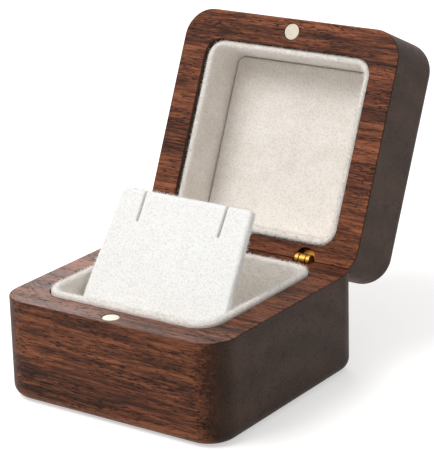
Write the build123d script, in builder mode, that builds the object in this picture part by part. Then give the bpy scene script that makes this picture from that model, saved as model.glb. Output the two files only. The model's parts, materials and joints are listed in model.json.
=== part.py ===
from build123d import *
import math
import os

# Wooden blocks, outside. X is right, Y is back, Z is up, and the base stands on Z = 0.
box_width = 60.0
box_depth = 58.5
base_height = 24.0
lid_height = 18.6
corner_radius = 7.25
base_bottom_round = 2.8
lid_top_round = 3.0
rim_easing = 0.3

# Pockets cut into the blocks, by the width of wood left at the rim
base_rim = 7.0
lid_rim = 6.9
lid_rim_rear = 6.4
base_opening_radius = 5.75
lid_opening_radius = 4.6
base_pocket_depth = 19.0
lid_pocket_depth = 13.5

# Lid hinge axis, midway between the two rims, and the bevels that let the lid swing back
open_angle = 114.0
parting_gap = 0.2
pivot_inset = 2.77
bevel_angle = 58.5
bevel_start = 0.15
bevel_reach = 12.0

# Barrel hinges
hinge_x = 16.5
barrel_forward = 0.3
barrel_radius = 2.2
barrel_fit = 0.05
barrel_end = 9.0
barrel_end_chamfer = 0.4
barrel_tip_gap = 0.15
groove_depths = (4.4, 5.8, 7.2)
groove_width = 0.5
groove_depth = 0.2
leaf_reach = 1.9
leaf_outer = 1.9
leaf_slot = 1.05
leaf_centre = 0.75
eye_radius = 1.4
pin_radius = 0.55
pin_press_fit = 0.03
pin_running_fit = 0.06
mouth_radius = 2.7
mouth_depth = 2.0

# Closing magnets
magnet_inset = 3.2
magnet_radius = 2.0
magnet_length = 3.0
magnet_fit = 0.05
magnet_sink = 0.1
magnet_easing = 0.15

# Velvet trays
tray_wall = 1.8
base_tray_fit = 0.2
lid_tray_fit = 0.15
tray_lip_round = 0.85
base_lip_proud = 0.9
lid_lip_sink = 1.2
base_pad = 1.5
lid_pad = 1.7
pad_gap = 0.25
pad_edge_round = 0.7

# Display card and the velvet strip that it folds on
card_angle = 57.5
card_thickness = 2.2
card_length = 41.6
card_fold_half_width = 18.3
card_shoulder = 3.2
card_shoulder_half_width = 20.1
card_top_half_width = 17.4
card_corner = 1.2
card_edge_round = 0.5
card_front_gap = 0.35
card_clearance = 0.3
slit_x = 11.2
slit_width = 0.9
slit_length = 7.7
strip_thickness = 0.35
strip_half_width = 17.8
strip_length = 3.9
foot_thickness = 1.0
foot_half_width = 19.0
foot_length = 33.0
foot_gap = 0.1
foot_corner = 1.5
foot_edge_round = 0.4

# Derived places, measured forward from the hinge axis and into a block from the parting plane
half_gap = parting_gap / 2
pivot_y = box_depth / 2 - pivot_inset
pivot_z = base_height + half_gap
box_middle = pivot_y
front_face = box_depth - pivot_inset

# Derived places on the tray floor
base_tray_inner_half_depth = box_depth / 2 - base_rim - base_tray_fit - tray_wall
floor_top = base_height - base_pocket_depth + base_pad
card_pivot_y = -base_tray_inner_half_depth + card_front_gap + card_thickness / 2
card_pivot_z = floor_top + strip_thickness + card_clearance + card_thickness / 2
strip_front = card_pivot_y - card_thickness / 2 - card_front_gap / 2
foot_front = strip_front + strip_length + foot_gap

# Working planes: origin on the hinge axis, Y towards the front, Z from the rim into the block
open_radians = math.radians(open_angle)
base_frame = Plane(origin=(0, pivot_y, pivot_z), x_dir=(1, 0, 0), z_dir=(0, 0, -1))
lid_frame = Plane(
    origin=(0, pivot_y, pivot_z),
    x_dir=(-1, 0, 0),
    z_dir=(0, math.sin(open_radians), math.cos(open_radians)),
)

# Working plane of the card: origin on its fold, Y up the card, Z out of its face
card_radians = math.radians(card_angle)
card_frame = Plane(
    origin=(0, card_pivot_y, card_pivot_z),
    x_dir=(1, 0, 0),
    z_dir=(0, -math.sin(card_radians), math.cos(card_radians)),
)


def into(frame):
    return Axis(frame.origin, frame.z_dir)


def cross_plane(frame, x):
    # Upright section at x: first axis forward, second axis into the block
    across = frame.to_local_coords(Vector(x, pivot_y, pivot_z)).X
    return Plane(origin=frame.origin, x_dir=frame.y_dir, z_dir=frame.x_dir).offset(across)


def bevel_section(frame):
    # Section of the wedge that the rear bevel takes off a block
    slope = math.radians(bevel_angle)
    far = bevel_start - bevel_reach * math.cos(slope)
    deep = bevel_reach * math.sin(slope)
    with BuildSketch(cross_plane(frame, 0)) as wedge:
        Polygon((bevel_start, 0), (far, deep), (far, 0), align=None)
    return wedge.sketch


def opening_outline(rim, rear, radius, inset):
    # Rounded outline of a block's opening, drawn in by the inset all round
    width = box_width - 2 * rim - 2 * inset
    depth = box_depth - rim - rear - 2 * inset
    with Locations((0, box_middle + (rear - rim) / 2)):
        RectangleRounded(width, depth, radius - inset)


def wooden_block(frame, height, outer_round, opening, pocket_depth):
    with BuildPart() as block:
        with BuildSketch(frame.offset(half_gap)):
            with Locations((0, box_middle)):
                RectangleRounded(box_width, box_depth, corner_radius)
        extrude(amount=height)
        fillet(block.faces().sort_by(into(frame))[-1].edges(), outer_round)

        # Pocket for the velvet tray, then all edges of the rim eased
        with BuildSketch(frame.offset(half_gap)):
            opening_outline(*opening, 0)
        extrude(amount=pocket_depth, mode=Mode.SUBTRACT)
        fillet(block.faces().sort_by(into(frame))[0].edges(), rim_easing)

        # Seat of the magnet
        with BuildSketch(frame.offset(half_gap)):
            with Locations((0, front_face - magnet_inset)):
                Circle(magnet_radius + magnet_fit)
        extrude(amount=magnet_sink + magnet_length, mode=Mode.SUBTRACT)

        # Stepped holes of the barrel hinges
        with BuildSketch(frame):
            with Locations((-hinge_x, barrel_forward), (hinge_x, barrel_forward)):
                Circle(barrel_radius + barrel_fit)
        extrude(amount=barrel_end + barrel_tip_gap, mode=Mode.SUBTRACT)
        with BuildSketch(frame):
            with Locations((-hinge_x, barrel_forward), (hinge_x, barrel_forward)):
                Circle(mouth_radius)
        extrude(amount=mouth_depth, mode=Mode.SUBTRACT)

        extrude(bevel_section(frame), amount=box_width, both=True, mode=Mode.SUBTRACT)
    return block.part


def tray_wall_ring(frame, opening, fit, lip_depth, floor_depth):
    with BuildPart() as ring:
        with BuildSketch(frame.offset(half_gap + lip_depth)):
            opening_outline(*opening, fit)
        extrude(amount=floor_depth - lip_depth)
        with BuildSketch(frame.offset(half_gap + lip_depth)):
            opening_outline(*opening, fit + tray_wall)
        extrude(amount=floor_depth - lip_depth, mode=Mode.SUBTRACT)
        fillet(ring.faces().sort_by(into(frame))[0].edges(), tray_lip_round)
    return ring.part


def tray_pad(frame, opening, fit, floor_depth, thickness):
    with BuildPart() as pad:
        with BuildSketch(frame.offset(half_gap + floor_depth - thickness)):
            opening_outline(*opening, fit + tray_wall + pad_gap)
        extrude(amount=thickness)
        fillet(pad.faces().sort_by(into(frame))[0].edges(), pad_edge_round)
    return pad.part


def rim_magnet(frame):
    with BuildPart() as disc:
        with BuildSketch(frame.offset(half_gap + magnet_sink)):
            with Locations((0, front_face - magnet_inset)):
                Circle(magnet_radius)
        extrude(amount=magnet_length)
        fillet(disc.edges().filter_by(GeomType.CIRCLE), magnet_easing)
    return disc.part


def leaf_section(frame, x, pin_fit):
    # Eye round the pin, with a stem that reaches the barrel and is bevelled with it
    stem_back = bevel_start - leaf_reach / math.tan(math.radians(bevel_angle))
    with BuildSketch(cross_plane(frame, x)) as section:
        Polygon(
            (bevel_start, 0),
            (eye_radius, 0),
            (eye_radius, leaf_reach),
            (stem_back, leaf_reach),
            align=None,
        )
        Circle(eye_radius)
        Circle(pin_radius + pin_fit, mode=Mode.SUBTRACT)
    return section.sketch


def hinge_barrel(frame, x, leaves, pin_fit):
    centre_x = frame.to_local_coords(Vector(x, pivot_y, pivot_z)).X
    with BuildPart() as barrel:
        with BuildSketch(frame.offset(leaf_reach)):
            with Locations((centre_x, barrel_forward)):
                Circle(barrel_radius)
        extrude(amount=barrel_end - leaf_reach)
        chamfer(barrel.faces().sort_by(into(frame))[-1].edges(), barrel_end_chamfer)

        # Grip grooves round the barrel
        for depth in groove_depths:
            with BuildSketch(frame.offset(depth)):
                with Locations((centre_x, barrel_forward)):
                    Circle(barrel_radius)
                    Circle(barrel_radius - groove_depth, mode=Mode.SUBTRACT)
            extrude(amount=groove_width, mode=Mode.SUBTRACT)
        extrude(bevel_section(frame), amount=box_width, both=True, mode=Mode.SUBTRACT)

        for middle, thickness in leaves:
            extrude(leaf_section(frame, x + middle, pin_fit), amount=thickness / 2, both=True)
    return barrel.part


def hinge_pin(x):
    with BuildPart() as pin:
        with BuildSketch(cross_plane(base_frame, x)):
            Circle(pin_radius)
        extrude(amount=leaf_outer, both=True)
    return pin.part


def display_card():
    up_card = Axis(card_frame.origin, card_frame.y_dir)
    through_card = Axis(card_frame.origin, card_frame.z_dir)
    side_plane = Plane(origin=card_frame.origin, x_dir=card_frame.y_dir, z_dir=card_frame.x_dir)
    with BuildSketch() as outline:
        Polygon(
            (-card_fold_half_width, -card_thickness),
            (card_fold_half_width, -card_thickness),
            (card_fold_half_width, 0),
            (card_shoulder_half_width, card_shoulder),
            (card_top_half_width, card_length),
            (-card_top_half_width, card_length),
            (-card_shoulder_half_width, card_shoulder),
            (-card_fold_half_width, 0),
            align=None,
        )
        fillet(outline.vertices().group_by(Axis.Y)[-1], card_corner)
    with BuildPart() as card:
        # Side view with a round fold end, then the outline of the face
        with BuildSketch(side_plane):
            with Locations((card_length / 2, 0)):
                Rectangle(card_length, card_thickness)
            Circle(card_thickness / 2)
        extrude(amount=card_shoulder_half_width, both=True)
        with BuildSketch(card_frame):
            add(outline.sketch)
        extrude(amount=card_thickness, both=True, mode=Mode.INTERSECT)

        # Padded edges, all but those below the shoulders, next to the round fold end
        rims = card.faces().filter_by(through_card).edges().filter_by(
            lambda edge: card_frame.to_local_coords(edge.center()).Y > card_shoulder
        )
        fillet(rims, card_edge_round)

        # Two slits open at the top edge
        with BuildSketch(card_frame):
            with Locations((-slit_x, card_length), (slit_x, card_length)):
                Rectangle(slit_width, 2 * slit_length)
        extrude(amount=card_thickness, both=True, mode=Mode.SUBTRACT)
    return card.part


def save(piece, name):
    piece.label = name
    export_step(piece, f"parts/{name}.step")


os.makedirs("parts", exist_ok=True)
base_opening = (base_rim, base_rim, base_opening_radius)
lid_opening = (lid_rim, lid_rim_rear, lid_opening_radius)

# Wooden blocks
save(wooden_block(base_frame, base_height, base_bottom_round, base_opening, base_pocket_depth), "base_block")
save(wooden_block(lid_frame, lid_height, lid_top_round, lid_opening, lid_pocket_depth), "lid_block")

# Velvet trays
base_wall = tray_wall_ring(base_frame, base_opening, base_tray_fit, -base_lip_proud, base_pocket_depth)
save(base_wall, "base_tray_wall")
lid_wall = tray_wall_ring(lid_frame, lid_opening, lid_tray_fit, lid_lip_sink, lid_pocket_depth)
save(lid_wall, "lid_tray_wall")
save(tray_pad(base_frame, base_opening, base_tray_fit, base_pocket_depth, base_pad), "base_tray_floor")
save(tray_pad(lid_frame, lid_opening, lid_tray_fit, lid_pocket_depth, lid_pad), "lid_tray_ceiling")

# Closing magnets
save(rim_magnet(base_frame), "base_magnet")
save(rim_magnet(lid_frame), "lid_magnet")

# Barrel hinges: two outer leaves on the base, one centre leaf on the lid
outer_middle = (leaf_outer + leaf_slot) / 2
outer_leaves = ((-outer_middle, leaf_outer - leaf_slot), (outer_middle, leaf_outer - leaf_slot))
centre_leaf = ((0, 2 * leaf_centre),)
for side, x in (("left", -hinge_x), ("right", hinge_x)):
    save(hinge_barrel(base_frame, x, outer_leaves, pin_press_fit), f"hinge_{side}_base_barrel")
    save(hinge_barrel(lid_frame, x, centre_leaf, pin_running_fit), f"hinge_{side}_lid_barrel")
    save(hinge_pin(x), f"hinge_{side}_pin")

save(display_card(), "card_panel")

# Foot of the card, glued flat on the tray floor behind the fold
with BuildPart() as card_foot:
    with BuildSketch(Plane.XY.offset(floor_top)):
        with Locations((0, foot_front + foot_length / 2)):
            RectangleRounded(2 * foot_half_width, foot_length, foot_corner)
    extrude(amount=foot_thickness)
    fillet(card_foot.faces().sort_by(Axis.Z)[-1].edges(), foot_edge_round)
save(card_foot.part, "card_foot")

# Velvet strip under the fold
with BuildPart() as card_fold:
    with BuildSketch(Plane.XY.offset(floor_top)):
        with Locations((0, strip_front + strip_length / 2)):
            Rectangle(2 * strip_half_width, strip_length)
    extrude(amount=strip_thickness)
save(card_fold.part, "card_fold")
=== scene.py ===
import json
import math
import random
import bpy
import bmesh
from mathutils import Matrix, Vector


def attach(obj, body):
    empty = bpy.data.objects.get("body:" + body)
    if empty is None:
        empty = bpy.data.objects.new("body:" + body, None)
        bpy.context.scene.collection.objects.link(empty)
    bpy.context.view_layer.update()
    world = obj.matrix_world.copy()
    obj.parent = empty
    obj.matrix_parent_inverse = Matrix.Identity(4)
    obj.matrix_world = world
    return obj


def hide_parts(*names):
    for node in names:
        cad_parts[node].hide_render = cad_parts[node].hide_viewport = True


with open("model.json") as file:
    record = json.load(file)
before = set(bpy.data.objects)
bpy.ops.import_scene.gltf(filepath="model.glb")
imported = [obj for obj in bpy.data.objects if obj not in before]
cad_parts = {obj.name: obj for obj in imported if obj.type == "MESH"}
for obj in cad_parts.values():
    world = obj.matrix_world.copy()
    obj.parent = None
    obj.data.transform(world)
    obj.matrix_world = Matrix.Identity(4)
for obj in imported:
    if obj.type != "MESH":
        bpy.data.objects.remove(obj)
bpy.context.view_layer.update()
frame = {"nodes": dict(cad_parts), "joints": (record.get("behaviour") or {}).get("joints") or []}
mm = 0.001
nearby = 0.001 * mm  # two places closer than this count as one
joints = {joint["name"]: joint for joint in frame["joints"]}
hinge = Vector(joints["lid_hinge"]["pos_m"])
openAngle = math.radians(joints["lid_hinge"]["range_deg"][1])
print("frame loaded, nodes:", len(frame["nodes"]))


def axesMatrix(origin, x, y, z):
    m = Matrix((x, y, z)).transposed().to_4x4()
    m.translation = origin
    return m


# Own directions of base and lid: x right, z out of the velvet side
baseSpace = Matrix.Identity(4)
lidSpace = axesMatrix(
    hinge,
    Vector((1, 0, 0)),
    Vector((0, -math.cos(openAngle), math.sin(openAngle))),
    Vector((0, -math.sin(openAngle), -math.cos(openAngle))),
)


def boxIn(node, space):
    inverse = space.inverted()
    points = [inverse @ v.co for v in frame["nodes"][node].data.vertices]
    low = Vector([min(p[i] for p in points) for i in range(3)])
    high = Vector([max(p[i] for p in points) for i in range(3)])
    return low, high


def editNew(name):
    piece = bpy.context.active_object
    piece.name = piece.data.name = name
    bpy.ops.object.transform_apply(location=True, rotation=True, scale=True)
    bpy.ops.object.mode_set(mode="EDIT")
    return piece


def pickEdges(piece, test):
    bpy.ops.mesh.select_mode(type="EDGE")
    bpy.ops.mesh.select_all(action="DESELECT")
    mesh = bmesh.from_edit_mesh(piece.data)
    for edge in mesh.edges:
        a, b = (v.co for v in edge.verts)
        edge.select_set(test(a, b))
    bmesh.update_edit_mesh(piece.data)


def applyModifier(piece, kind, **values):
    modifier = piece.modifiers.new(kind.title(), kind)
    for key, value in values.items():
        setattr(modifier, key, value)
    bpy.ops.object.modifier_apply(modifier=modifier.name)


def placeIn(piece, space):
    if bpy.context.mode != "OBJECT":
        bpy.ops.object.mode_set(mode="OBJECT")
    piece.matrix_world = space
    selectOnly(piece)
    bpy.ops.object.transform_apply(location=True, rotation=True, scale=True)


def selectOnly(piece):
    bpy.ops.object.select_all(action="DESELECT")
    piece.select_set(True)
    bpy.context.view_layer.objects.active = piece


def wear(piece, material):
    piece.data.materials.clear()
    piece.data.materials.append(material)


def finishPiece(piece, body, slot, material, *nodes):
    wear(piece, material)
    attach(piece, body)
    if nodes:
        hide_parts(*nodes)


def newGroup(name, inputs, outputs):
    group = bpy.data.node_groups.new(name, "ShaderNodeTree")
    for label, kind, value in inputs:
        socket = group.interface.new_socket(label, in_out="INPUT", socket_type=kind)
        if value is not None:
            socket.default_value = value
    for label, kind in outputs:
        group.interface.new_socket(label, in_out="OUTPUT", socket_type=kind)
    nodes = group.nodes
    return group, nodes.new("NodeGroupInput"), nodes.new("NodeGroupOutput")


def addNode(tree, kind, values=None):
    node = tree.nodes.new(kind)
    for label, value in (values or {}).items():
        node.inputs[label].default_value = value
    return node


def addBump(tree, shader, height, strength, distance):
    bump = addNode(tree, "ShaderNodeBump", {"Strength": strength, "Distance": distance})
    tree.links.new(height, bump.inputs["Height"])
    tree.links.new(bump.outputs["Normal"], shader.inputs["Normal"])


def mathNode(tree, operation, a, b=None, clamp=False):
    node = tree.nodes.new("ShaderNodeMath")
    node.operation = operation
    node.use_clamp = clamp
    for index, value in enumerate((a, b)):
        if value is None:
            continue
        if isinstance(value, (int, float)):
            node.inputs[index].default_value = value
        else:
            tree.links.new(value, node.inputs[index])
    return node.outputs[0]


def shareNode(tree, a, b, share):
    # Share of a, and the rest of b
    first = mathNode(tree, "MULTIPLY", a, share)
    return mathNode(tree, "ADD", first, mathNode(tree, "MULTIPLY", b, 1 - share))


def rampNode(tree, factor, stops):
    node = tree.nodes.new("ShaderNodeValToRGB")
    elements = node.color_ramp.elements
    while len(elements) < len(stops):
        elements.new(0.5)
    for element, (place, colour) in zip(elements, stops):
        element.position = place
        element.color = colour if isinstance(colour, tuple) else (colour, colour, colour, 1)
    tree.links.new(factor, node.inputs["Fac"])
    return node.outputs["Color"]


def mixColour(tree, factor, a, b, blend="MIX"):
    node = tree.nodes.new("ShaderNodeMix")
    node.data_type = "RGBA"
    node.blend_type = blend
    for index, value in ((0, factor), (6, a), (7, b)):
        if isinstance(value, (int, float, tuple)):
            node.inputs[index].default_value = value
        else:
            tree.links.new(value, node.inputs[index])
    return node.outputs[2]


def srgb(red, green, blue):
    def linear(value):
        value /= 255
        return value / 12.92 if value <= 0.04045 else ((value + 0.055) / 1.055) ** 2.4
    return (linear(red), linear(green), linear(blue), 1)


def stretchedNoise(tree, vector, scale, detail=4.0, roughness=0.55, distortion=0.0):
    mapping = addNode(tree, "ShaderNodeMapping", {"Scale": scale})
    tree.links.new(vector, mapping.inputs["Vector"])
    noise = addNode(tree, "ShaderNodeTexNoise", {
        "Scale": 1.0, "Detail": detail, "Roughness": roughness, "Distortion": distortion,
    })
    tree.links.new(mapping.outputs["Vector"], noise.inputs["Vector"])
    return noise.outputs["Fac"]


# Figure of the walnut, in repeats per metre along X, which is the way of the fibres, and across it
grain = {
    "bands": (11, 190, 190),
    "coarse": (60, 1100, 1100),
    "fine": (210, 2600, 2600),
    "pores": (620, 4300, 4300),
    "poreField": (45, 330, 330),
    "poreCut": 0.36,
    "poreSwing": 0.13,
    "poreEdge": 16.0,
}


# Long grain: growth bands, fine streaks and open pores, all drawn out along X
def buildGrainGroup():
    group, given, out = newGroup(
        "Long grain",
        [("Vector", "NodeSocketVector", None)],
        [("Bands", "NodeSocketFloat"), ("Streaks", "NodeSocketFloat"), ("Pores", "NodeSocketFloat")],
    )
    vector = given.outputs["Vector"]
    bands = stretchedNoise(group, vector, grain["bands"], 3.0, 0.6, 0.9)
    coarse = stretchedNoise(group, vector, grain["coarse"], 4.0, 0.7, 0.3)
    fine = stretchedNoise(group, vector, grain["fine"], 3.0, 0.7)
    streaks = shareNode(group, coarse, fine, 0.5)
    poreNoise = stretchedNoise(group, vector, grain["pores"], 2.0, 0.5)
    poreField = stretchedNoise(group, vector, grain["poreField"], 3.0, 0.6)
    field = rampNode(group, poreField, [(0.35, 0.0), (0.65, 1.0)])
    cut = mathNode(group, "ADD", mathNode(group, "MULTIPLY", field, grain["poreSwing"]), grain["poreCut"])
    deep = mathNode(group, "SUBTRACT", cut, poreNoise)
    pores = mathNode(group, "MULTIPLY", deep, grain["poreEdge"], clamp=True)
    group.links.new(bands, out.inputs["Bands"])
    group.links.new(streaks, out.inputs["Streaks"])
    group.links.new(pores, out.inputs["Pores"])
    return group


endGrain = {
    "facing": (0.45, 0.95),  # how far a surface turns to X before its fibres count as cut
    "ringPlace": (0, 1.1, 3.2),
    "ringScale": (4, 24, 31),
    "ringDistortion": 9.0,
    "ringDetail": 3.0,
    "ringDetailScale": 1.3,
    "ringShare": 0.14,
    "dots": (400, 2900, 2900),
    "turn": [(0.2, 1.0), (0.6, 0.4), (0.85, 0.6), (0.98, 0.88)],
}


# Where the fibres are cut across: how far a surface faces along X, its growth rings and its dots
def buildEndGrainGroup():
    group, given, out = newGroup(
        "Cut fibres",
        [("Vector", "NodeSocketVector", None), ("Normal", "NodeSocketVector", None)],
        [("Mask", "NodeSocketFloat"), ("Figure", "NodeSocketFloat"), ("Turn", "NodeSocketFloat")],
    )
    vector = given.outputs["Vector"]
    split = addNode(group, "ShaderNodeSeparateXYZ")
    group.links.new(given.outputs["Normal"], split.inputs[0])
    side = mathNode(group, "ABSOLUTE", split.outputs[0])
    least, full = endGrain["facing"]
    mask = addNode(group, "ShaderNodeMapRange", {"From Min": least, "From Max": full})
    mask.interpolation_type = "SMOOTHSTEP"
    group.links.new(side, mask.inputs["Value"])
    place = addNode(group, "ShaderNodeMapping", {
        "Location": endGrain["ringPlace"], "Scale": endGrain["ringScale"],
    })
    group.links.new(vector, place.inputs["Vector"])
    rings = addNode(group, "ShaderNodeTexWave", {
        "Scale": 1.0, "Distortion": endGrain["ringDistortion"],
        "Detail": endGrain["ringDetail"], "Detail Scale": endGrain["ringDetailScale"],
    })
    rings.wave_type = "RINGS"
    rings.rings_direction = "X"
    group.links.new(place.outputs["Vector"], rings.inputs["Vector"])
    dots = stretchedNoise(group, vector, endGrain["dots"], 3.0, 0.65)
    figure = shareNode(group, rings.outputs["Fac"], dots, endGrain["ringShare"])
    turn = rampNode(group, side, endGrain["turn"])  # darkest where a surface turns part way from the front to the side, at the rounded corners; the sides a little darker too
    group.links.new(mask.outputs["Result"], out.inputs["Mask"])
    group.links.new(figure, out.inputs["Figure"])
    group.links.new(turn, out.inputs["Turn"])
    return group


grainGroup = buildGrainGroup()
endGrainGroup = buildEndGrainGroup()


def newMaterial(name, colour, roughness, metallic=0.0):
    material = bpy.data.materials.new(name)
    material.use_nodes = True
    shader = material.node_tree.nodes["Principled BSDF"]
    shader.inputs["Base Color"].default_value = colour
    shader.inputs["Roughness"].default_value = roughness
    shader.inputs["Metallic"].default_value = metallic
    return material, material.node_tree, shader


def placeGroup(tree, group, source):
    node = tree.nodes.new("ShaderNodeGroup")
    node.node_tree = group
    tree.links.new(source, node.inputs[0])
    return node


walnut = {
    "pale": srgb(154, 94, 64),
    "mid": srgb(104, 60, 41),
    "dark": srgb(48, 27, 19),
    "end": srgb(84, 61, 48),
    "endDark": srgb(54, 39, 30),
    "pore": srgb(30, 16, 12),
    "endPore": srgb(44, 34, 29),
    "longStops": (0.42, 0.5, 0.59),
    "endStops": (0.36, 0.62),
    "bandShare": 0.33,
    "poreStrength": 0.85,
    "roughness": 0.5,
    "specular": 0.14,
    "smoothest": 0.36,
    "streakRoughness": 0.25,
    "poreRoughness": 0.2,
    "streakHeight": 0.35,
    "bump": 0.35,
    "bumpDepth": 0.12 * mm,
    "baseShift": (0.013, 0.021, 0.007),
    "baseTone": (0.9, 0.89, 0.87, 1),
    "lidShift": (0.31, 0.17, 0.05),
    "lidTone": (1.0, 0.97, 0.96, 1),
}


def walnutMaterial(name, shift, tone):
    material, tree, shader = newMaterial(name, walnut["mid"], walnut["roughness"])
    shader.inputs["Specular IOR Level"].default_value = walnut["specular"]
    coords = addNode(tree, "ShaderNodeTexCoord")
    mapping = addNode(tree, "ShaderNodeMapping", {"Location": shift})
    tree.links.new(coords.outputs["Object"], mapping.inputs["Vector"])
    grainNode = placeGroup(tree, grainGroup, mapping.outputs["Vector"])
    cut = placeGroup(tree, endGrainGroup, mapping.outputs["Vector"])
    tree.links.new(coords.outputs["Normal"], cut.inputs["Normal"])
    bands, streaks, pores = (grainNode.outputs[label] for label in ("Bands", "Streaks", "Pores"))
    mask = cut.outputs["Mask"]

    mixed = shareNode(tree, bands, streaks, walnut["bandShare"])
    longColours = (walnut["dark"], walnut["mid"], walnut["pale"])
    long = rampNode(tree, mixed, list(zip(walnut["longStops"], longColours)))
    endColours = (walnut["endDark"], walnut["end"])
    end = rampNode(tree, cut.outputs["Figure"], list(zip(walnut["endStops"], endColours)))
    wood = mixColour(tree, mask, long, end)
    poreColour = mixColour(tree, mask, walnut["pore"], walnut["endPore"])
    poreAmount = mathNode(tree, "MULTIPLY", pores, walnut["poreStrength"])
    wood = mixColour(tree, poreAmount, wood, poreColour)
    wood = mixColour(tree, 1.0, wood, cut.outputs["Turn"], "MULTIPLY")
    wood = mixColour(tree, 1.0, wood, tone, "MULTIPLY")
    tree.links.new(wood, shader.inputs["Base Color"])

    rough = mathNode(tree, "MULTIPLY", streaks, walnut["streakRoughness"])
    rough = mathNode(tree, "ADD", rough, walnut["smoothest"])
    poreRough = mathNode(tree, "MULTIPLY", pores, walnut["poreRoughness"])
    rough = mathNode(tree, "ADD", rough, poreRough, clamp=True)
    tree.links.new(rough, shader.inputs["Roughness"])
    height = mathNode(tree, "SUBTRACT", mathNode(tree, "MULTIPLY", streaks, walnut["streakHeight"]), pores)
    addBump(tree, shader, height, walnut["bump"], walnut["bumpDepth"])
    return material


velvet = {
    "colour": srgb(250, 244, 237),
    "shade": srgb(242, 234, 225),
    # Pile fibres: the tray velvet painted lighter, painted light as if light shone through the fibres
    "pileLitColour": srgb(255, 253, 250),
    "pileLitShade": srgb(253, 250, 245),
    # Card: the tray velvet painted lighter, painted light where the card faces the key light
    "cardLitColour": srgb(255, 255, 253),
    "cardLitShade": srgb(254, 252, 249),
    "roughness": 0.95,
    "specular": 0.1,
    "sheen": 0.6,
    "pileSheen": 1.0,
    "sheenRoughness": 0.45,
    "pile": 2200,  # specks of single fibres, per metre
    "nap": 160,  # patches that lie one way, per metre, drawn lighter and darker: painted sheen
    "napHeight": 0.8,
    "speck": 0.84,
    "bump": 0.7,
    "bumpDepth": 0.3 * mm,
}


def velvetMaterial(name, colour, shade, sheen):
    material, tree, shader = newMaterial(name, colour, velvet["roughness"])
    shader.inputs["Specular IOR Level"].default_value = velvet["specular"]
    shader.inputs["Sheen Weight"].default_value = sheen
    shader.inputs["Sheen Roughness"].default_value = velvet["sheenRoughness"]
    coords = addNode(tree, "ShaderNodeTexCoord").outputs["Object"]
    pileSpecks = stretchedNoise(tree, coords, (velvet["pile"],) * 3, 3.0, 0.6)
    nap = stretchedNoise(tree, coords, (velvet["nap"],) * 3, 5.0, 0.65, 0.4)
    # Lighter and darker nap patches: painted sheen of pile lying different ways
    napSheen = rampNode(tree, nap, [(0.35, shade), (0.62, colour)])
    speck = rampNode(tree, pileSpecks, [(0.34, velvet["speck"]), (0.54, 1.0)])
    tree.links.new(mixColour(tree, 1.0, napSheen, speck, "MULTIPLY"), shader.inputs["Base Color"])
    height = mathNode(tree, "ADD", pileSpecks, mathNode(tree, "MULTIPLY", nap, velvet["napHeight"]))
    addBump(tree, shader, height, velvet["bump"], velvet["bumpDepth"])
    return material


brass = {"colour": srgb(208, 152, 74), "roughness": 0.4, "marks": 800}
plating = {"colour": srgb(188, 180, 165), "roughness": 0.5, "marks": 900}
metal = {"lowTone": 0.8, "roughSwing": 0.25, "roughDrop": 0.1, "bump": 0.15, "bumpDepth": 0.05 * mm}


def metalMaterial(name, finish):
    colour, roughness = finish["colour"], finish["roughness"]
    material, tree, shader = newMaterial(name, colour, roughness, 1.0)
    coords = addNode(tree, "ShaderNodeTexCoord").outputs["Object"]
    marks = stretchedNoise(tree, coords, (finish["marks"],) * 3, 4.0, 0.6)
    low = tuple(metal["lowTone"] * c for c in colour[:3]) + (1,)
    tree.links.new(rampNode(tree, marks, [(0.3, low), (0.65, colour)]), shader.inputs["Base Color"])
    swing = mathNode(tree, "MULTIPLY", marks, metal["roughSwing"])
    rough = mathNode(tree, "ADD", swing, roughness - metal["roughDrop"], clamp=True)
    tree.links.new(rough, shader.inputs["Roughness"])
    addBump(tree, shader, marks, metal["bump"], metal["bumpDepth"])
    return material


baseWalnut = walnutMaterial("Walnut base", walnut["baseShift"], walnut["baseTone"])
lidWalnut = walnutMaterial("Walnut lid", walnut["lidShift"], walnut["lidTone"])
trayVelvet = velvetMaterial("Velvet tray", velvet["colour"], velvet["shade"], velvet["sheen"])
# The pile velvet is a lighter copy of the tray velvet: painted light
litPileVelvet = velvetMaterial("Velvet pile painted light", velvet["pileLitColour"], velvet["pileLitShade"], velvet["pileSheen"])
# The card velvet is a lighter copy of the tray velvet: painted light
litCardVelvet = velvetMaterial("Velvet card painted light", velvet["cardLitColour"], velvet["cardLitShade"], velvet["sheen"])
brassMetal = metalMaterial("Turned brass", brass)
magnetMetal = metalMaterial("Plated magnet", plating)
print("finishes ready")

for name, node in frame["nodes"].items():
    if name == "base_block":
        wear(node, baseWalnut)
    elif name == "lid_block":
        wear(node, lidWalnut)
    elif "magnet" in name:
        wear(node, magnetMetal)
    elif "hinge" in name:
        wear(node, brassMetal)


# Wrapped wall ring of a tray: a rounded sheet, inset, raised and given a full soft lip
wallRing = {
    "wall": 1.8 * mm,
    "cornerSteps": 10,
    "lip": 0.88 * mm,
    "lipSteps": 6,
    "smoothAngle": 50,
    "baseCorner": 5.55 * mm,
    "lidCorner": 4.45 * mm,
    "lidRise": 0.4 * mm,
}


def isRim(a, b):
    # Along the outline rather than across the wall
    return abs((a - b).length - wallRing["wall"]) > 0.02 * wallRing["wall"]


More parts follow.
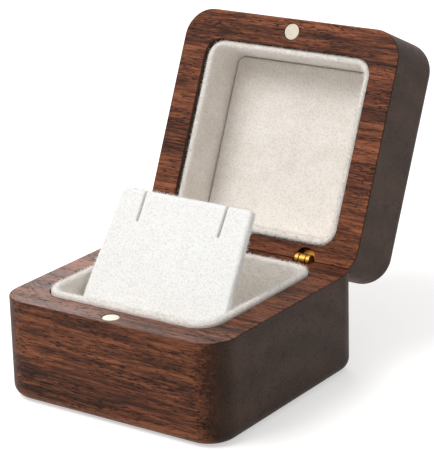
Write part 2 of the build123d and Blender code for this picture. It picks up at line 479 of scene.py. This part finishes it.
def trayRing(name, node, space, body, corner, rise=0):
    low, high = boxIn(node, space)
    high = high + Vector((0, 0, rise))
    size = high - low
    middle = (low + high) / 2
    bpy.ops.object.select_all(action="DESELECT")
    bpy.ops.mesh.primitive_plane_add(size=1, location=(middle.x, middle.y, low.z))
    bpy.context.active_object.scale = (size.x, size.y, 1)
    ring = editNew(name)
    bpy.ops.mesh.select_all(action="SELECT")
    bpy.ops.mesh.bevel(
        affect="VERTICES", offset=corner, segments=wallRing["cornerSteps"], profile=0.5
    )
    bpy.ops.mesh.select_all(action="SELECT")
    bpy.ops.mesh.inset(thickness=wallRing["wall"], use_even_offset=True)
    bpy.ops.mesh.delete(type="FACE")
    bpy.ops.mesh.select_all(action="SELECT")
    bpy.ops.mesh.extrude_region_move(TRANSFORM_OT_translate={"value": (0, 0, size.z)})
    bpy.ops.mesh.select_all(action="SELECT")
    bpy.ops.mesh.normals_make_consistent(inside=False)
    pickEdges(ring, lambda a, b: min(a.z, b.z) > high.z - nearby and isRim(a, b))
    bpy.ops.mesh.bevel(
        offset=wallRing["lip"], segments=wallRing["lipSteps"], profile=0.5, clamp_overlap=True
    )
    bpy.ops.object.mode_set(mode="OBJECT")
    bpy.ops.object.shade_smooth_by_angle(angle=math.radians(wallRing["smoothAngle"]))
    placeIn(ring, space)
    finishPiece(ring, body, "velvet", trayVelvet, node)
    return ring


baseRing = trayRing("baseTrayWall", "base_tray_wall", baseSpace, "base", wallRing["baseCorner"])
lidRing = trayRing(
    "lidTrayWall", "lid_tray_wall", lidSpace, "lid", wallRing["lidCorner"], wallRing["lidRise"]
)
print("tray walls ready")

# Stray pile: one short fibre, repeated over the soft edges of a piece
pile = {
    "length": 0.7 * mm,
    "radius": 0.045 * mm,
    "tipShare": 5,
    "root": 0.06 * mm,
    "spread": 1.0,
    "grown": (0.5, 1.2),  # shortest and longest, as shares of the length
    "perSquare": 9.0,  # fibres on each square millimetre
    "baseDepth": 1.4 * mm,
    "baseFacing": 0.25,
    "lidDepth": 1.0 * mm,
    "lidFacing": -0.1,
    "cardFacing": 0.75,
}


def oneFibre():
    bpy.ops.object.select_all(action="DESELECT")
    bpy.ops.mesh.primitive_cone_add(
        vertices=3, radius1=pile["radius"], radius2=pile["radius"] / pile["tipShare"],
        depth=pile["length"], location=(0, 0, pile["length"] / 2 - pile["root"]),
        end_fill_type="NOTHING",
    )
    fibre = bpy.context.active_object
    bpy.ops.object.transform_apply(location=True, rotation=True, scale=True)
    return fibre


def growPile(name, piece, space, chosen, body, seed):
    draw = random.Random(seed)
    fibre = oneFibre()
    shape = [v.co.copy() for v in fibre.data.vertices]
    sides = [tuple(face.vertices) for face in fibre.data.polygons]
    inverse = space.inverted()
    mesh = piece.data
    mesh.calc_loop_triangles()
    points, faces = [], []
    for triangle in mesh.loop_triangles:
        a, b, c = (inverse @ mesh.vertices[i].co for i in triangle.vertices)
        normal = (b - a).cross(c - a)
        area = normal.length / 2
        if area == 0 or not chosen((a + b + c) / 3, normal.normalized()):
            continue
        wanted = area / (mm * mm) * pile["perSquare"]
        count = int(wanted) + (draw.random() < wanted - int(wanted))
        for _ in range(count):
            u, w = draw.random(), draw.random()
            if u + w > 1:
                u, w = 1 - u, 1 - w
            root = a + (b - a) * u + (c - a) * w
            lean = Vector([draw.uniform(-1, 1) for _ in range(3)]) * pile["spread"]
            way = (normal.normalized() + lean).normalized()
            spin = way.to_track_quat("Z", "Y").to_matrix() * draw.uniform(*pile["grown"])
            first = len(points)
            points.extend(space @ (root + spin @ v) for v in shape)
            faces.extend(tuple(first + i for i in side) for side in sides)
    bpy.data.objects.remove(fibre)
    fuzzMesh = bpy.data.meshes.new(name)
    fuzzMesh.from_pydata(points, [], faces)
    fuzz = bpy.data.objects.new(name, fuzzMesh)
    bpy.context.scene.collection.objects.link(fuzz)
    finishPiece(fuzz, body, "velvet", litPileVelvet)


baseLip = boxIn("base_tray_wall", baseSpace)[1].z - pile["baseDepth"]
lidLip = boxIn("lid_tray_wall", lidSpace)[1].z - pile["lidDepth"]
growPile(
    "baseTrayPile", baseRing, baseSpace,
    lambda place, normal: place.z > baseLip and normal.z > pile["baseFacing"], "base", seed=3,
)
growPile(
    "lidTrayPile", lidRing, lidSpace,
    lambda place, normal: place.z > lidLip and normal.z > pile["lidFacing"], "lid", seed=5,
)
print("lip pile ready")


# Padded boards: a rounded slab, remeshed finely and swollen a little under its velvet
boards = {
    "baseTrayFloor": {
        "node": "base_tray_floor", "space": baseSpace, "body": "base", "fill": 0.9,
        "corner": 3.0 * mm, "edge": 0.7 * mm, "crown": 0.3 * mm, "grow": 0.18 * mm, "voxel": 0.45 * mm,
    },
    "lidTrayCeiling": {
        "node": "lid_tray_ceiling", "space": lidSpace, "body": "lid", "fill": 0.9,
        "corner": 2.0 * mm, "edge": 0.7 * mm, "crown": 0.3 * mm, "grow": 0.18 * mm, "voxel": 0.45 * mm,
    },
    "cardFoot": {
        "node": "card_foot", "space": baseSpace, "body": "base", "fill": 0.95,
        "corner": 1.5 * mm, "edge": 0.4 * mm, "crown": 0.1 * mm, "grow": 0, "voxel": 0.25 * mm,
    },
    "cardFold": {
        "node": "card_fold", "space": baseSpace, "body": "base", "fill": 1.0,
        "corner": 0.3 * mm, "edge": 0.1 * mm, "crown": 0.02 * mm, "grow": 0, "voxel": 0.1 * mm,
    },
}
boardSteps = {"corner": 8, "edge": 4}


def roundedSlab(name, low, high, corner, edge):
    size = high - low
    bpy.ops.object.select_all(action="DESELECT")
    bpy.ops.mesh.primitive_cube_add(size=1, location=(low + high) / 2)
    bpy.context.active_object.scale = size
    slab = editNew(name)
    pickEdges(slab, lambda a, b: abs(a.z - b.z) > size.z / 2)
    bpy.ops.mesh.bevel(offset=corner, segments=boardSteps["corner"], profile=0.5)
    pickEdges(slab, lambda a, b: min(a.z, b.z) > high.z - nearby)
    bpy.ops.mesh.bevel(offset=edge, segments=boardSteps["edge"], profile=0.5)
    bpy.ops.object.mode_set(mode="OBJECT")
    return slab


def swell(piece, low, high, crown):
    # Highest over the middle, falling away to the edges on a soft curve
    middle = (low + high) / 2
    half = (high - low) / 2
    for v in piece.data.vertices:
        u = min(1.0, abs(v.co.x - middle.x) / half.x)
        w = min(1.0, abs(v.co.y - middle.y) / half.y)
        rise = (1 - u ** 4) * (1 - w ** 4)
        if v.co.z > middle.z:
            v.co.z += crown * (rise - 1)


def paddedBoard(name, node, space, body, fill, corner, edge, crown, grow, voxel):
    low, high = boxIn(node, space)
    low = low - Vector((grow, grow, 0))
    high = high + Vector((grow, grow, crown))
    slab = roundedSlab(name, low, high, corner, edge)
    applyModifier(slab, "REMESH", mode="VOXEL", voxel_size=voxel, use_smooth_shade=True)
    swell(slab, low, high, crown)
    placeIn(slab, space)
    finishPiece(slab, body, "velvet", trayVelvet, node)


for name, board in boards.items():
    paddedBoard(name, **board)
print("tray boards ready")

# Display card: tapered slab with a soft face and two slits cut down from its top edge
card = {
    "lean": 56,
    "foldHalf": 18.3 * mm,
    "shoulder": 3.2 * mm,
    "shoulderHalf": 20.2 * mm,
    "topHalf": 17.9 * mm,
    "length": 41.3 * mm,
    "slitX": 11.2 * mm,
    "slitWidth": 0.5 * mm,
    "slitLength": 7.7 * mm,
    "cutDepth": 6 * mm,
    "corner": 1.2 * mm,
    "cornerSteps": 6,
    "edge": 0.8 * mm,
    "edgeSteps": 5,
    "thickness": 2.2 * mm,
    "voxel": 0.22 * mm,
    "smoothing": 0.5,
    "smoothingSteps": 3,
    "fill": 0.9,
}

# Own directions of the card, from its fold: x right, y up the card, z out of its face
cardAngle = math.radians(card["lean"])
cardSpace = axesMatrix(
    Vector(joints["card_tilt"]["pos_m"]),
    Vector((1, 0, 0)),
    Vector((0, math.cos(cardAngle), math.sin(cardAngle))),
    Vector((0, -math.sin(cardAngle), math.cos(cardAngle))),
)


def taperedSlab(name):
    half = card["thickness"] / 2
    bpy.ops.object.select_all(action="DESELECT")
    bpy.ops.mesh.primitive_plane_add(size=1, location=(0, (card["length"] - half) / 2, -half))
    bpy.context.active_object.scale = (2 * card["shoulderHalf"], card["length"] + half, 1)
    slab = editNew(name)
    # Taper towards the top from the shoulders, and narrower again at the fold
    bpy.ops.mesh.select_all(action="SELECT")
    bpy.ops.mesh.bisect(plane_co=(0, card["shoulder"], 0), plane_no=(0, 1, 0))
    mesh = bmesh.from_edit_mesh(slab.data)
    for v in mesh.verts:
        if v.co.y > card["length"] / 2:
            v.co.x = math.copysign(card["topHalf"], v.co.x)
        elif v.co.y < card["shoulder"] / 2:
            v.co.x = math.copysign(card["foldHalf"], v.co.x)
    bmesh.update_edit_mesh(slab.data)
    bpy.ops.mesh.select_all(action="SELECT")
    bpy.ops.mesh.dissolve_limited(angle_limit=math.radians(1))
    bpy.ops.mesh.bevel(affect="VERTICES", offset=card["corner"], segments=card["cornerSteps"], profile=0.5)
    bpy.ops.mesh.select_all(action="SELECT")
    bpy.ops.mesh.extrude_region_move(TRANSFORM_OT_translate={"value": (0, 0, card["thickness"])})
    bpy.ops.mesh.select_all(action="SELECT")
    bpy.ops.mesh.normals_make_consistent(inside=False)
    pickEdges(slab, lambda a, b: abs(a.z - b.z) < nearby)
    bpy.ops.mesh.bevel(offset=card["edge"], segments=card["edgeSteps"], profile=0.5, clamp_overlap=True)
    bpy.ops.object.mode_set(mode="OBJECT")
    return slab


def cutSlit(slab, x):
    bpy.ops.object.select_all(action="DESELECT")
    bpy.ops.mesh.primitive_cube_add(size=1, location=(x, card["length"] + mm, 0))
    cutter = bpy.context.active_object
    cutter.scale = (card["slitWidth"], 2 * (card["slitLength"] + mm), card["cutDepth"])
    bpy.ops.object.transform_apply(location=True, rotation=True, scale=True)
    selectOnly(slab)
    applyModifier(slab, "BOOLEAN", object=cutter, operation="DIFFERENCE", solver="EXACT")
    bpy.data.objects.remove(cutter)


def displayCard():
    piece = taperedSlab("displayCard")
    cutSlit(piece, -card["slitX"])
    cutSlit(piece, card["slitX"])
    applyModifier(piece, "REMESH", mode="VOXEL", voxel_size=card["voxel"], use_smooth_shade=True)
    applyModifier(piece, "SMOOTH", factor=card["smoothing"], iterations=card["smoothingSteps"])
    placeIn(piece, cardSpace)
    finishPiece(piece, "card", "velvet", litCardVelvet, "card_panel")
    return piece


cardPiece = displayCard()
growPile(
    "cardPile", cardPiece, cardSpace,
    lambda place, normal: abs(normal.z) < pile["cardFacing"], "card", seed=7,
)
print("card ready")

# Studio: pale floor, white surround, soft key light from the front left, camera as in the photograph
studio = {
    "floorSize": 4.0,
    "floorDrop": 0.2 * mm,
    "floor": srgb(225, 224, 222),
    "floorRoughness": 0.9,
    "floorGlow": 0.5,
    "world": 0.47,
    "aim": (0, 0, 0.03),
    "keyPower": 10.0,
    "keySize": 0.7,
    "keyPlace": (-0.42, -0.56, 1.06),
    "backPower": 3.6,
    "backSize": 0.4,
    "backPlace": (-0.6, 0.75, 0.5),
}


def seenDirectly(tree):
    # 1 where the camera or a mirror image looks, 0 for the light that falls on things
    path = tree.nodes.new("ShaderNodeLightPath")
    return mathNode(tree, "MAXIMUM", path.outputs["Is Camera Ray"], path.outputs["Is Glossy Ray"])


def studioFloor():
    bpy.ops.mesh.primitive_plane_add(size=studio["floorSize"], location=(0, 0, -studio["floorDrop"]))
    floor = bpy.context.active_object
    floor.name = "floor"
    material, tree, shader = newMaterial("Floor", studio["floor"], studio["floorRoughness"])
    shader.inputs["Specular IOR Level"].default_value = 0.0
    shader.inputs["Emission Color"].default_value = (1, 1, 1, 1)
    glow = mathNode(tree, "MULTIPLY", seenDirectly(tree), studio["floorGlow"])
    tree.links.new(glow, shader.inputs["Emission Strength"])
    wear(floor, material)


def studioWorld():
    world = bpy.data.worlds.new("Surround")
    bpy.context.scene.world = world
    world.use_nodes = True
    tree = world.node_tree
    background = tree.nodes["Background"]
    background.inputs["Color"].default_value = (1, 1, 1, 1)
    seen = seenDirectly(tree)
    rest = mathNode(tree, "MULTIPLY", mathNode(tree, "SUBTRACT", 1.0, seen), studio["world"])
    tree.links.new(mathNode(tree, "ADD", seen, rest), background.inputs["Strength"])


def areaLamp(name, place, power, size):
    lamp = bpy.data.lights.new(name, "AREA")
    lamp.energy = power
    lamp.size = size
    holder = bpy.data.objects.new(name, lamp)
    bpy.context.scene.collection.objects.link(holder)
    holder.location = place
    aim = Vector(studio["aim"]) - Vector(place)
    holder.rotation_euler = aim.to_track_quat("-Z", "Y").to_euler()


photoCamera = {
    "place": (262.67 * mm, -358.60 * mm, 187.13 * mm),
    "azimuth": 35.11,
    "elevation": 18.63,
    "roll": -1.54,
    "focalPixels": 2082.82,
    "imageHeight": 450,
    "sensor": 36.0,
    "clipStart": 0.01,
}


def studioCamera():
    azimuth, elevation, roll = (math.radians(photoCamera[k]) for k in ("azimuth", "elevation", "roll"))
    back = Vector((
        math.sin(azimuth) * math.cos(elevation),
        -math.cos(azimuth) * math.cos(elevation),
        math.sin(elevation),
    ))
    right = Vector((0, 0, 1)).cross(back).normalized()
    up = back.cross(right)
    tiltedRight = math.cos(roll) * right + math.sin(roll) * up
    tiltedUp = -math.sin(roll) * right + math.cos(roll) * up
    data = bpy.data.cameras.new("camera")
    data.sensor_width = photoCamera["sensor"]
    data.sensor_fit = "AUTO"
    data.lens = photoCamera["focalPixels"] * photoCamera["sensor"] / photoCamera["imageHeight"]
    data.clip_start = photoCamera["clipStart"]
    camera = bpy.data.objects.new("camera", data)
    bpy.context.scene.collection.objects.link(camera)
    camera.matrix_world = axesMatrix(Vector(photoCamera["place"]), tiltedRight, tiltedUp, back)
    bpy.context.scene.camera = camera


studioFloor()
studioWorld()
areaLamp("key", studio["keyPlace"], studio["keyPower"], studio["keySize"])
areaLamp("back", studio["backPlace"], studio["backPower"], studio["backSize"])
studioCamera()
bpy.context.scene.view_settings.view_transform = "Standard"
print("studio ready")
